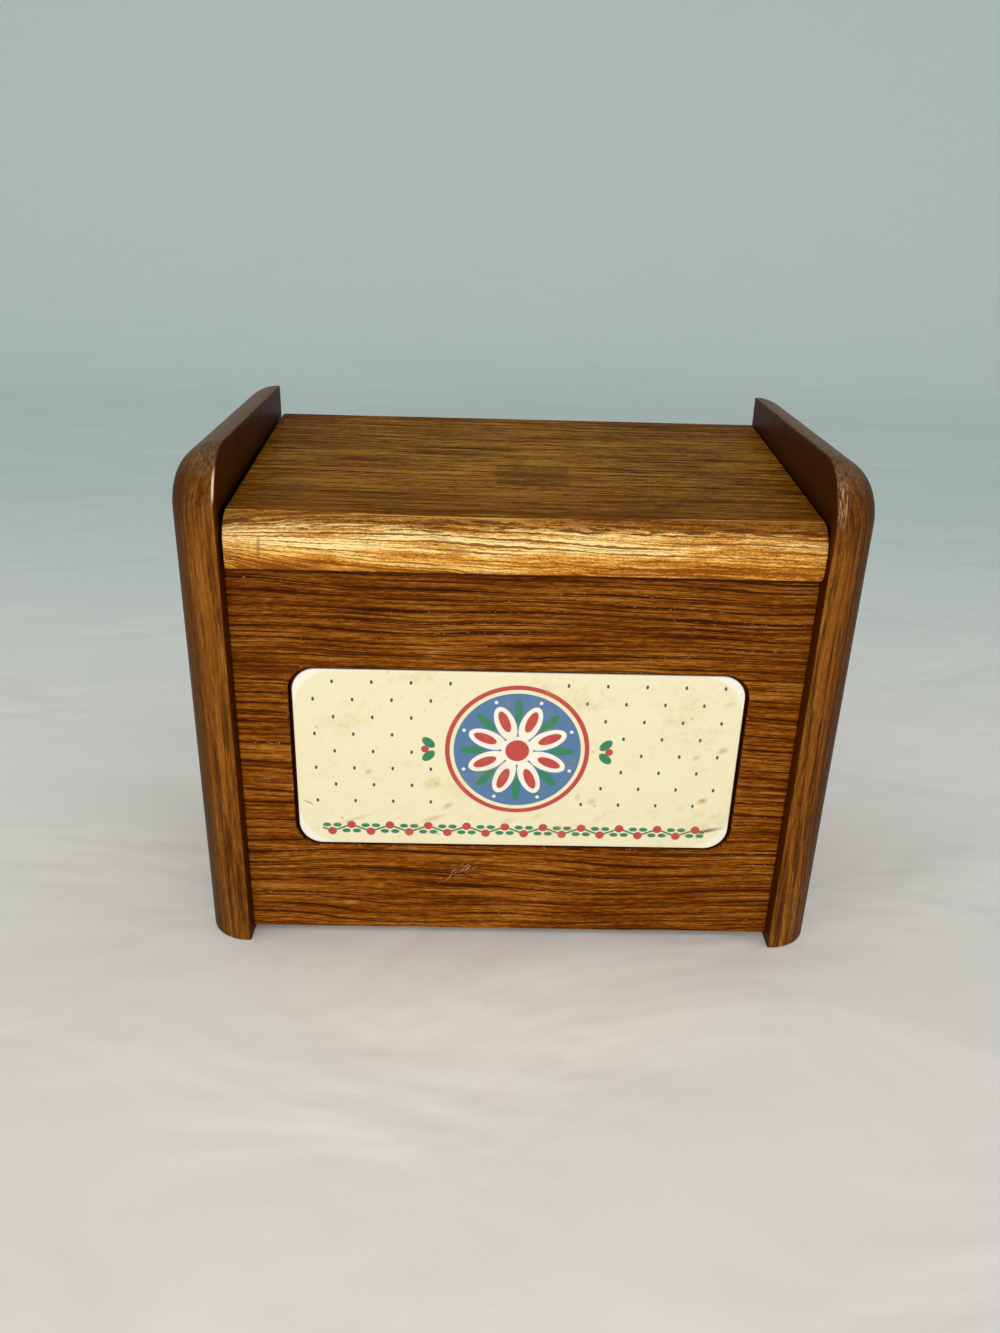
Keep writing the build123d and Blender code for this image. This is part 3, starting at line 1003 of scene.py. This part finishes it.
def rubbed_nose_with_highlight(x, y, z, colour):
    """The pale nose: rubbed pale wood with bright streaks, thin brown lines, ragged dark marks and
    greyish pores, under a painted highlight across the middle of its face, painted shade in the bands
    above and below it and a slight painted falloff of the light towards the right end.

    level is the length up the face: z plus a share of the depth behind the nose. Near the left
    end the lines open like a fan, by a factor 1 + k exp(-distance / length) on level. The rubbed
    part ends along a bowed line below the crease.
    """
    oak = settings().oak
    behind = y - LID_LOW[1]
    from_end = x - LID_LOW[0]
    level = z + behind * 0.45
    lower, upper = level.ramp(111.0, 108.4), level.ramp(115.2, 118.4)
    wander = noise(x / 30, y / 9, z / 9) * 2.4
    rough = noise(x / 3.2, y / 1.6, z / 1.6, 3.0, 0.7) - 0.5
    bands = level - 112.0 + wander + rough * 0.9 + x * 0.03
    bands = bands * ((from_end * -0.07).math("EXPONENT") * 1.1 + 1)
    streaks = noise(x / 34, bands / 1.7, 4.0, 3.0, 0.7, 0.3)
    fine = noise(x / 4.2, bands / 0.38, 21.0, 2.0, 0.7)
    speckle = noise(x / 0.7, z / 0.4, y / 0.4, 1.0)
    slow = noise(x / 26, z / 6, 2.0, 1.0)
    # middle: painted highlight, a lighter band across the nose's face where the lamp shines on it.
    middle = oval(x + 8.0, level - 112.6, 78.0, 3.6, 3.4)
    tone = streaks * 0.6 + fine * 0.3 + speckle * 0.18 + slow * 0.2 + middle * 0.12
    # A slight painted falloff of the light from the left end to the right.
    tone = tone - x * 0.0003 - 0.035
    tone = (tone - 0.62) * 1.35 + 0.615
    stops = (
        (0.51, display(148, 84, 18)), (0.595, tuple(oak.worn)), (0.68, display(240, 176, 84)),
        (0.74, tuple(oak.bright)),
    )
    golden = x.finish.add("ShaderNodeValToRGB", {"stops": stops}, (tone,))
    # upper and lower: painted shade in the bands above and below the highlight.
    golden = blend(upper, golden, (0.52, 0.41, 0.24), "MULTIPLY")
    golden = blend(lower, golden, (0.86, 0.75, 0.53), "MULTIPLY")
    lines = hairlines(bands / 1.7, (x, bands, y * 0.1), 1.7, 1.0)[0]
    short = hairlines(bands / 0.9 + 0.4, (x * 2.6, bands, y * 0.1), 0.9, 0.6)[0]
    pits = noise(x / 2.4, bands / 0.55, 33.0, 3.0, 0.7, 0.8)
    pits = pits + (from_end * -0.09).math("EXPONENT") * 0.04
    grey = noise(x / 7, bands / 1.2, 15.0, 3.0, 0.65, 0.6) - lower * 0.12
    row = abs(level - 116.6).ramp(3.0, 0.6)
    marks = noise(x / 8, bands / 0.8, 9.0, 4.0, 0.7, 0.6) + row * 0.15
    smudge = oval(x + 61.0 - (z - 111.0) * 0.1, z - 110.6, 0.45, 2.4, 1.2)
    golden = painted(
        golden,
        (lines.either(short * 0.75) * 0.92, oak.umber),
        (pits.ramp(0.62, 0.67) * 0.7, display(122, 70, 34)),
        (grey.ramp(0.58, 0.64) * 0.55, display(168, 120, 84)),
        (marks.ramp(0.655, 0.69) * 0.9, display(92, 52, 26)),
        (smudge * 0.6, display(150, 92, 50)),
    )
    bow = (x + 12.0) / 38.0
    limit = 5.35 - (bow * bow * -1.0).math("EXPONENT") * 1.35
    edge = limit - behind + (noise(x / 5, z / 3, 3.0, 3.0) - 0.5) * 0.45
    thread = abs(edge).ramp(0.26, 0.1) * streaks.ramp(0.42, 0.52)
    colour = blend(edge.ramp(-0.08, 0.08), colour, golden)
    return blend(thread * 0.7, colour, display(226, 176, 92))


class CARDBOX_OT_lid(bpy.types.Operator):
    """Make the lid with its rubbed nose"""

    bl_idname = "card_box.lid"
    bl_label = "Lid"

    def execute(self, context):
        boards = settings().boards
        piece = closed_mesh("lid", lid_loops(boards.nose, boards.nose_under, boards.lid_end, 5))
        look = Look(0.008, 6.0, (-30.0, 40.0), 0.02, 2.1, 2.2, 1.0)
        finish, masks, colour = oak_finish("oak lid", "xyz", (-12.0, 71.0, 33.0), look, palette("lid_"))
        place = finish.place_mm()
        colour = rubbed_nose_with_highlight(*place, top_marks(*place, colour))
        material = lacquered(finish, masks, colour, settings().oak.lacquer * 0.5, 0.3, 0.01)
        dress(piece, material, "lid", "oak_lid", "lid_board")
        return {"FINISHED"}


class CARDBOX_OT_bottom(bpy.types.Operator):
    """Give the thin bottom its hardboard finish and the dowels their wood"""

    bl_idname = "card_box.bottom"
    bl_label = "Bottom and Dowels"

    def execute(self, context):
        finish = new_finish("hardboard")
        x, y, z = finish.place_mm()
        fibres = noise(x / 0.8, y / 0.8, z / 0.4, 4.0, 0.65)
        clouds = noise(x / 22, y / 22, z / 22)
        colour = blend(fibres.ramp(0.3, 0.72), display(122, 84, 50), display(78, 50, 28))
        colour = blend(clouds.ramp(0.35, 0.75) * 0.35, colour, display(96, 60, 30))
        values = {"Base Color": colour, "Roughness": fibres * 0.2 + 0.45}
        redress("bottom_panel", finish.surface(values, fibres, 0.05))
        finish = new_finish("beech")
        x, y, z = finish.place_mm()
        grain = noise(x / 9, y / 0.5, z / 0.5)
        colour = blend(grain, display(206, 166, 118), display(176, 132, 84))
        values = {"Base Color": colour, "Roughness": grain * 0.2 + 0.5}
        material = finish.surface(values, grain, 0.03)
        for corner in ("front_left", "front_right", "back_left", "back_right"):
            redress(f"dowels_{corner}", material)
        return {"FINISHED"}


def medallion(x, z):
    """Cream ground with pin dots, and a blue rosette in rings between two sprigs.

    The dots are a square lattice turned by 45 degrees. The angle is folded into one eighth of a
    turn for the petals and, half a step on, for the leaves. x and z are from the plaque's middle.
    """
    plaque = settings().plaque
    inside = corner_distance(x, z, 55.8, 24.9, 11.0).ramp(0.15, -0.15)
    pitch = 9.7
    first, second = centred((x + z) / pitch), centred((x - z) / pitch + 0.5)
    wide, tall = first + second, first - second
    dots = (wide * wide * 2.4 + tall * tall).math("SQRT").ramp(0.12, 0.104)
    high = z - 3.4
    radius = hypot(x, high)
    clear = radius.ramp(21.0, 21.15) * (1 - oval(abs(x) - 22.6, high, 3.6, 5.2))
    low_clear = z.ramp(-16.5, -16.0) * abs(x).ramp(54.4, 54.1)
    eighth = math.pi / 4
    turns = high.math("ARCTAN2", x) / eighth
    fold, leaf_fold = centred(turns) * eighth, centred(turns + 0.5) * eighth
    petal_x, petal_y = radius * fold.math("SINE"), radius * fold.math("COSINE")
    leaf_x, leaf_y = radius * leaf_fold.math("SINE"), radius * leaf_fold.math("COSINE")
    aside, lean = abs(x) - 22.4, abs(high) - 1.9
    return painted(
        plaque.margin,
        (inside, plaque.ground),
        (dots * clear * low_clear * inside, plaque.dot),
        (radius.ramp(18.35, 18.2) * radius.ramp(17.0, 17.15), plaque.red),
        (radius.ramp(16.15, 16.0), plaque.blue),
        (oval(leaf_x, leaf_y - 11.2, 1.05, 3.2), plaque.green),
        (oval(petal_x, petal_y - 8.2, 2.5, 5.0), plaque.margin),
        (oval(petal_x, petal_y - 8.8, 1.25, 3.1), plaque.red),
        (oval(petal_x, petal_y - 14.6, 0.45, 0.45), plaque.margin),
        (oval(aside - lean * 0.75, lean + aside * 0.35, 1.5, 1.9), plaque.green),
        (oval(aside - 0.9, high, 1.0, 1.0), plaque.red),
        (radius.ramp(4.1, 3.95), plaque.margin),
        (radius.ramp(3.1, 2.95), plaque.red),
    )


def bordered(x, z, colour):
    """A vine with leaves and berries: one unit every 5 mm, turned over from one to the next."""
    plaque = settings().plaque
    odd = centred(x / 10.0).math("SIGN")
    unit_x = centred(x / 5.0) * 5.0
    unit_z = (z + 20.4) * odd
    run = abs(x).ramp(50.1, 49.9)
    vine = abs(unit_z + (x * (math.pi / 5)).math("SINE") * odd * 0.7).ramp(0.34, 0.2)
    leaves = oval(abs(unit_x) - 1.35, unit_z + 0.85, 1.1, 0.62)
    berry = oval(unit_x, unit_z - 1.0, 1.15, 1.15)
    return painted(colour, (vine.either(leaves) * run, plaque.green), (berry * run, plaque.red))


def stained(x, z, colour):
    """Faint ochre mottling, a handful of small spots, one dark smudge and a short scratch."""
    plaque = settings().plaque
    mottle = noise(x / 2.2, z / 2.2, 3.0, 4.0, 0.7)
    cloud = noise(x / 17, z / 12, 8.0)
    specks = cells(x / 6.5, z / 6.5, 2.0).ramp(0.09, 0.05)
    layers = [
        ((mottle * 0.6 + cloud * 0.7).ramp(0.66, 0.9) * 0.3, plaque.stain),
        (specks * cloud.ramp(0.4, 0.55) * 0.5, plaque.stain),
    ]
    spots = (
        (48.4, -10.5, 1.0, 0.7, 0.9), (45.6, 2.2, 0.7, 0.5, 0.6), (52.2, 4.4, 1.0, 0.7, 0.7),
        (52.4, 17.5, 0.8, 0.4, 0.5), (-21.5, -6.5, 2.2, 1.5, 0.28), (-17.4, -13.2, 1.0, 0.6, 0.6),
        (19.8, -11.2, 1.0, 0.9, 0.4), (16.0, -10.0, 0.6, 0.8, 0.3), (-2.0, -17.6, 1.7, 0.8, 0.25),
        (-37.6, -3.4, 0.6, 0.5, 0.7), (6.0, -16.0, 1.1, 0.5, 0.3), (-41.4, -17.6, 2.6, 0.35, 0.55),
        (-21.4, -17.2, 2.2, 0.5, 0.6),
    )
    for middle_x, middle_z, across, up, weight in spots:
        bent = z - middle_z - (x - middle_x) * 0.35 + (mottle - 0.5) * 1.6
        layers.append((oval(x - middle_x, bent, across, up, 0.6) * weight, plaque.stain))
    smudge = oval(x - 50.6, z + 19.6 - (x - 50.6) * 0.25, 2.6, 0.45, 0.5) * mottle.ramp(0.36, 0.46)
    scratch = oval(x + 53.3, z + 12.9 + (x + 53.3) * 0.5, 0.9, 0.18, 0.2)
    layers += [(smudge * 0.9, display(84, 30, 20)), (scratch * 0.8, plaque.dot)]
    return painted(colour, *layers)


class CARDBOX_OT_plaque(bpy.types.Operator):
    """Make the plaque with its printed rosette, pin dots and berry border"""

    bl_idname = "card_box.plaque"
    bl_label = "Plaque"

    def execute(self, context):
        piece = closed_mesh("plaque", plaque_loops(settings().plaque.edge_ease))
        finish = new_finish("printed plaque")
        x, y, z = finish.place_mm((0.0, 0.0, -PLAQUE_MIDDLE_Z))
        on_face = y.ramp(PLAQUE_LOW[1] + 0.5, PLAQUE_LOW[1] + 0.3)
        colour = stained(x, z, bordered(x, z, medallion(x, z)))
        values = {
            # The plaque's edges are painted dark brown: painted shade of the gap round the plaque.
            "Base Color": blend(on_face, display(122, 98, 68), colour),
            "Roughness": 0.38,
            "Specular IOR Level": 0.4,
            "Coat Weight": 0.2,
            "Coat Roughness": 0.12,
        }
        dress(piece, finish.surface(values), "box", "plaque_cream", "picture_plaque")
        return {"FINISHED"}


def make_leaf(name, body, centre_x, up, own, material):
    """One leaf with its own knuckles, the tabs that join them to it, and its two screws."""
    clear = KNUCKLE_RADIUS + 0.3
    screws = (centre_x - SCREW_APART, centre_x + SCREW_APART)
    shells = [plate_loops(centre_x, HINGE_HALF, clear, LEAF_REACH, LEAF_CORNER, up, screws)]
    for place in own:
        at_end = abs(place) == 2
        length = KNUCKLE_PITCH - KNUCKLE_GAP * (1 if at_end else 2)
        middle = centre_x + place * (KNUCKLE_PITCH - (KNUCKLE_GAP / 4 if at_end else 0))
        shells.append(knuckle_loops(middle, length))
        shells.append(plate_loops(middle, length / 2, 0.6, clear + 0.4, 0.05, up))
    plate = closed_mesh(f"brass_leaf_{name}_{body}", *shells)
    dress(plate, material, body, "hinge_brass", f"hinge_{name}_{body}_leaf")
    heads = [screw_loops(screw_x, HINGE_Z + up * SCREW_REACH) for screw_x in screws]
    pair = closed_mesh(f"brass_screws_{name}_{body}", *heads)
    dress(pair, material, body, "hinge_brass", f"hinge_{name}_{body}_screws")


class CARDBOX_OT_hinges(bpy.types.Operator):
    """Make the two brass hinges with their pins and screws"""

    bl_idname = "card_box.hinges"
    bl_label = "Hinges"

    def execute(self, context):
        finish = new_finish("hinge brass")
        x, y, z = finish.place_mm()
        brushed = noise(x / 6, y / 0.25, z / 0.25)
        spots = noise(x / 2.5, y / 2.5, z / 2.5, 3.0)
        metal = settings().hinges
        values = {
            "Base Color": blend(spots.ramp(0.45, 0.8) * 0.5, metal.brass, metal.tarnish),
            "Metallic": 1.0,
            "Roughness": brushed * 0.16 + spots * 0.2 + 0.14,
        }
        material = finish.surface(values, brushed, 0.008)
        for name, centre_x in HINGE_CENTRES.items():
            make_leaf(name, "box", centre_x, -1, (-2, 0, 2), material)
            make_leaf(name, "lid", centre_x, 1, (-1, 1), material)
            pin = closed_mesh(f"brass_pin_{name}", pin_loops(centre_x))
            dress(pin, material, "box", "hinge_brass", f"hinge_{name}_pin")
        return {"FINISHED"}


def make_floor():
    """The floor and the backdrop as one sheet, in metres.

    Its section is a level run, a quarter circle and an upright run, carried across from left to
    right.
    """
    reach, rear, radius, top = 3.0, 1.15, 0.45, 2.2
    level = np.linspace(-3.4, rear - radius, 90)
    turn = np.linspace(0, np.pi / 2, 24)[1:]
    upright = np.linspace(radius, top, 20)[1:]
    depth = np.concatenate([level, rear - radius + radius * np.sin(turn), 0 * upright + rear])
    height = np.concatenate([0 * level, radius * (1 - np.cos(turn)), upright])
    across = np.linspace(-reach, reach, 60)
    grid = np.stack(np.broadcast_arrays(across, depth[:, None], height[:, None]), axis=-1)
    quads = loop_quads(*grid.shape[:2]).reshape(len(grid) - 1, -1, 4)[:, :-1].reshape(-1, 4)
    mesh = bpy.data.meshes.new("floor")
    mesh.from_pydata(grid.reshape(-1, 3).tolist(), [], quads.tolist())
    mesh.shade_smooth()
    mesh.materials.append(cloth())
    floor = linked("floor", mesh)


def cloth():
    """Pale cloth with faint folds, which turns into the backdrop's colour behind the box."""
    stage = settings().stage
    finish = new_finish("pale cloth")
    x, y, z = finish.place_mm()
    folds = noise(x / 90, y / 60, z / 80, 3.0, 0.45, 0.6)
    weave = noise(x / 1.1, y / 1.1, z / 1.1)
    colour = painted(
        stage.floor,
        (y.ramp(-20.0, 420.0), stage.backdrop),
        (folds.ramp(0.35, 0.7) * 0.08, stage.backdrop),
    )
    values = {"Base Color": colour, "Roughness": 0.9, "Specular IOR Level": 0.1}
    return finish.surface(values, folds + weave * 0.01, 4.0)


def make_light(scene):
    """Soft light from all round and a lamp near the camera.

    Beyond the floor's edge the camera sees the backdrop's tone, which sends out no light.
    """
    stage = settings().stage
    scene.world = bpy.data.worlds.new("soft light")
    sky = Finish(scene.world)
    seen_by_camera = sky.add("ShaderNodeLightPath", output="Is Camera Ray")
    light = sky.add("ShaderNodeBackground", values=((0.93, 0.97, 1.0, 1.0), stage.sky))
    seen = sky.add("ShaderNodeBackground", values=((*display(167, 179, 175), 1.0),))
    both = sky.add("ShaderNodeMixShader", values=(seen_by_camera, light, seen))
    sky.add("ShaderNodeOutputWorld", values=(both,))
    lamp = bpy.data.lights.new("key", "AREA")
    lamp.energy = stage.key
    lamp.size = 0.22
    lamp.color = (1.0, 0.97, 0.92)
    place, aim = Vector((-0.10, -0.98, 0.33)), Vector((0.0, 0.0, 0.07))
    facing = (aim - place).to_track_quat("-Z", "Y").to_matrix().to_4x4()
    linked("key", lamp).matrix_world = Matrix.Translation(place) @ facing


def make_camera(scene):
    """The camera, turned by its yaw, tipped down by its pitch and rolled about its own axis."""
    yaw, pitch, roll = 0.0225954, 0.4271401, 0.0292896
    place = Vector((-0.0102704, -0.27444, 0.1870197))
    camera = bpy.data.cameras.new("camera")
    camera.sensor_width = 36.0
    camera.lens = 28.53
    turn = Matrix.Rotation(-yaw, 4, "Z") @ Matrix.Rotation(math.pi / 2 - pitch, 4, "X")
    scene.camera = linked("camera", camera)
    scene.camera.matrix_world = Matrix.Translation(place) @ turn @ Matrix.Rotation(roll, 4, "Z")


class CARDBOX_OT_stage(bpy.types.Operator):
    """Set the floor, the lamps and the camera"""

    bl_idname = "card_box.stage"
    bl_label = "Stage"

    def execute(self, context):
        make_floor()
        make_light(context.scene)
        make_camera(context.scene)
        context.scene.view_settings.view_transform = "Standard"
        return {"FINISHED"}


STEPS = (
    CARDBOX_OT_side_boards, CARDBOX_OT_front_board, CARDBOX_OT_back_board, CARDBOX_OT_lid,
    CARDBOX_OT_bottom, CARDBOX_OT_plaque, CARDBOX_OT_hinges, CARDBOX_OT_stage,
)


class CARDBOX_PT_panel(bpy.types.Panel):
    """The card box's pieces, one button each"""

    bl_idname = "CARDBOX_PT_panel"
    bl_label = "Recipe Card Box"
    bl_space_type = "VIEW_3D"
    bl_region_type = "UI"
    bl_category = "Card Box"

    def draw(self, context):
        for step in STEPS:
            self.layout.operator(step.bl_idname)


CLASSES = (
    OakSettings, BoardSettings, PlaqueSettings, HingeSettings, StageSettings, CardBoxSettings,
    *STEPS, CARDBOX_PT_panel,
)


def register():
    for item in CLASSES:
        bpy.utils.register_class(item)
    bpy.types.Scene.card_box = bpy.props.PointerProperty(type=CardBoxSettings)


def unregister():
    del bpy.types.Scene.card_box
    for item in reversed(CLASSES):
        bpy.utils.unregister_class(item)


def main():
    """Makes every piece and the stage."""
    register()
    for step in STEPS:
        group, name = step.bl_idname.split(".")
        getattr(getattr(bpy.ops, group), name)()


if __name__ == "__main__":
    main()
